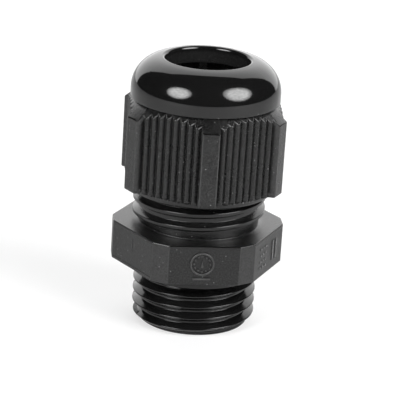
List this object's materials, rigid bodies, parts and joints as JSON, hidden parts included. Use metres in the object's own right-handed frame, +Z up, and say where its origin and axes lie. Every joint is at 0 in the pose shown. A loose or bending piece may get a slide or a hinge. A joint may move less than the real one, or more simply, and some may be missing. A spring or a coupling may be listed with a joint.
{
  "type": "cable gland",
  "caption": "Polyamide cable gland with a hexagonal wrench flange, a male fixing thread, a ribbed dome cap nut, clamping fingers and a rubber sealing bush.",
  "frame": {"origin": "centre of the gland's lower end, the end face of the connection thread; the wrench flange's underside is 8.1 mm above it", "axes": "+Z up along the cable, out through the cap nut; -Y is the outward normal of one flat of the wrench flange and of one plain corner strip of the cap"},
  "size_m": [0.0218, 0.0216, 0.0345],
  "materials": {
    "body_polyamide": "black moulded polyamide, satin with a faint grain",
    "cap_polyamide": "black moulded polyamide, glossy dome and satin ribs",
    "cage_polyamide": "black moulded polyamide, satin",
    "bush_rubber": "black nitrile rubber, matt"
  },
  "bodies": {
    "gland_body": {"gland_body": "body_polyamide", "clamp_cage": "cage_polyamide"},
    "sealing_bush": {"sealing_bush": "bush_rubber"},
    "cap_nut": {"cap_nut": "cap_polyamide"},
    "finger_01": {"clamp_finger_01": "cage_polyamide"},
    "finger_02": {"clamp_finger_02": "cage_polyamide"},
    "finger_03": {"clamp_finger_03": "cage_polyamide"},
    "finger_04": {"clamp_finger_04": "cage_polyamide"},
    "finger_05": {"clamp_finger_05": "cage_polyamide"},
    "finger_06": {"clamp_finger_06": "cage_polyamide"},
    "finger_07": {"clamp_finger_07": "cage_polyamide"},
    "finger_08": {"clamp_finger_08": "cage_polyamide"},
    "finger_09": {"clamp_finger_09": "cage_polyamide"},
    "finger_10": {"clamp_finger_10": "cage_polyamide"},
    "finger_11": {"clamp_finger_11": "cage_polyamide"},
    "finger_12": {"clamp_finger_12": "cage_polyamide"}
  },
  "joints": [
    {"name": "cap_turn", "type": "hinge", "parent": "gland_body", "child": "sealing_bush", "pos_m": [0, 0, 0.0231], "axis": [0, 0, -1], "range_deg": [0, 840]},
    {"name": "cap_travel", "type": "slide", "parent": "sealing_bush", "child": "cap_nut", "axis": [0, 0, -1], "range_m": [0, 0.0041], "deforming": ["sealing_bush"]},
    {"name": "finger_bend_01", "type": "hinge", "parent": "gland_body", "child": "finger_01", "pos_m": [0.0069, 0, 0.0225], "axis": [0, -1, 0], "range_deg": [0, 18.2]},
    {"name": "finger_bend_02", "type": "hinge", "parent": "gland_body", "child": "finger_02", "pos_m": [0.00598, 0.00345, 0.0225], "axis": [0.5, -0.866, 0], "range_deg": [0, 18.2]},
    {"name": "finger_bend_03", "type": "hinge", "parent": "gland_body", "child": "finger_03", "pos_m": [0.00345, 0.00598, 0.0225], "axis": [0.866, -0.5, 0], "range_deg": [0, 18.2]},
    {"name": "finger_bend_04", "type": "hinge", "parent": "gland_body", "child": "finger_04", "pos_m": [0, 0.0069, 0.0225], "axis": [1, 0, 0], "range_deg": [0, 18.2]},
    {"name": "finger_bend_05", "type": "hinge", "parent": "gland_body", "child": "finger_05", "pos_m": [-0.00345, 0.00598, 0.0225], "axis": [0.866, 0.5, 0], "range_deg": [0, 18.2]},
    {"name": "finger_bend_06", "type": "hinge", "parent": "gland_body", "child": "finger_06", "pos_m": [-0.00598, 0.00345, 0.0225], "axis": [0.5, 0.866, 0], "range_deg": [0, 18.2]},
    {"name": "finger_bend_07", "type": "hinge", "parent": "gland_body", "child": "finger_07", "pos_m": [-0.0069, 0, 0.0225], "axis": [0, 1, 0], "range_deg": [0, 18.2]},
    {"name": "finger_bend_08", "type": "hinge", "parent": "gland_body", "child": "finger_08", "pos_m": [-0.00598, -0.00345, 0.0225], "axis": [-0.5, 0.866, 0], "range_deg": [0, 18.2]},
    {"name": "finger_bend_09", "type": "hinge", "parent": "gland_body", "child": "finger_09", "pos_m": [-0.00345, -0.00598, 0.0225], "axis": [-0.866, 0.5, 0], "range_deg": [0, 18.2]},
    {"name": "finger_bend_10", "type": "hinge", "parent": "gland_body", "child": "finger_10", "pos_m": [0, -0.0069, 0.0225], "axis": [-1, 0, 0], "range_deg": [0, 18.2]},
    {"name": "finger_bend_11", "type": "hinge", "parent": "gland_body", "child": "finger_11", "pos_m": [0.00345, -0.00598, 0.0225], "axis": [-0.866, -0.5, 0], "range_deg": [0, 18.2]},
    {"name": "finger_bend_12", "type": "hinge", "parent": "gland_body", "child": "finger_12", "pos_m": [0.00598, -0.00345, 0.0225], "axis": [-0.5, -0.866, 0], "range_deg": [0, 18.2]}
  ],
  "couplings": [
    {"joint": "cap_travel", "follows": "cap_turn", "m_per_rad": 0.00027852},
    {"joint": "finger_bend_01", "follows": "cap_turn", "ratio": 0.021429},
    {"joint": "finger_bend_02", "follows": "cap_turn", "ratio": 0.021429},
    {"joint": "finger_bend_03", "follows": "cap_turn", "ratio": 0.021429},
    {"joint": "finger_bend_04", "follows": "cap_turn", "ratio": 0.021429},
    {"joint": "finger_bend_05", "follows": "cap_turn", "ratio": 0.021429},
    {"joint": "finger_bend_06", "follows": "cap_turn", "ratio": 0.021429},
    {"joint": "finger_bend_07", "follows": "cap_turn", "ratio": 0.021429},
    {"joint": "finger_bend_08", "follows": "cap_turn", "ratio": 0.021429},
    {"joint": "finger_bend_09", "follows": "cap_turn", "ratio": 0.021429},
    {"joint": "finger_bend_10", "follows": "cap_turn", "ratio": 0.021429},
    {"joint": "finger_bend_11", "follows": "cap_turn", "ratio": 0.021429},
    {"joint": "finger_bend_12", "follows": "cap_turn", "ratio": 0.021429}
  ]
}
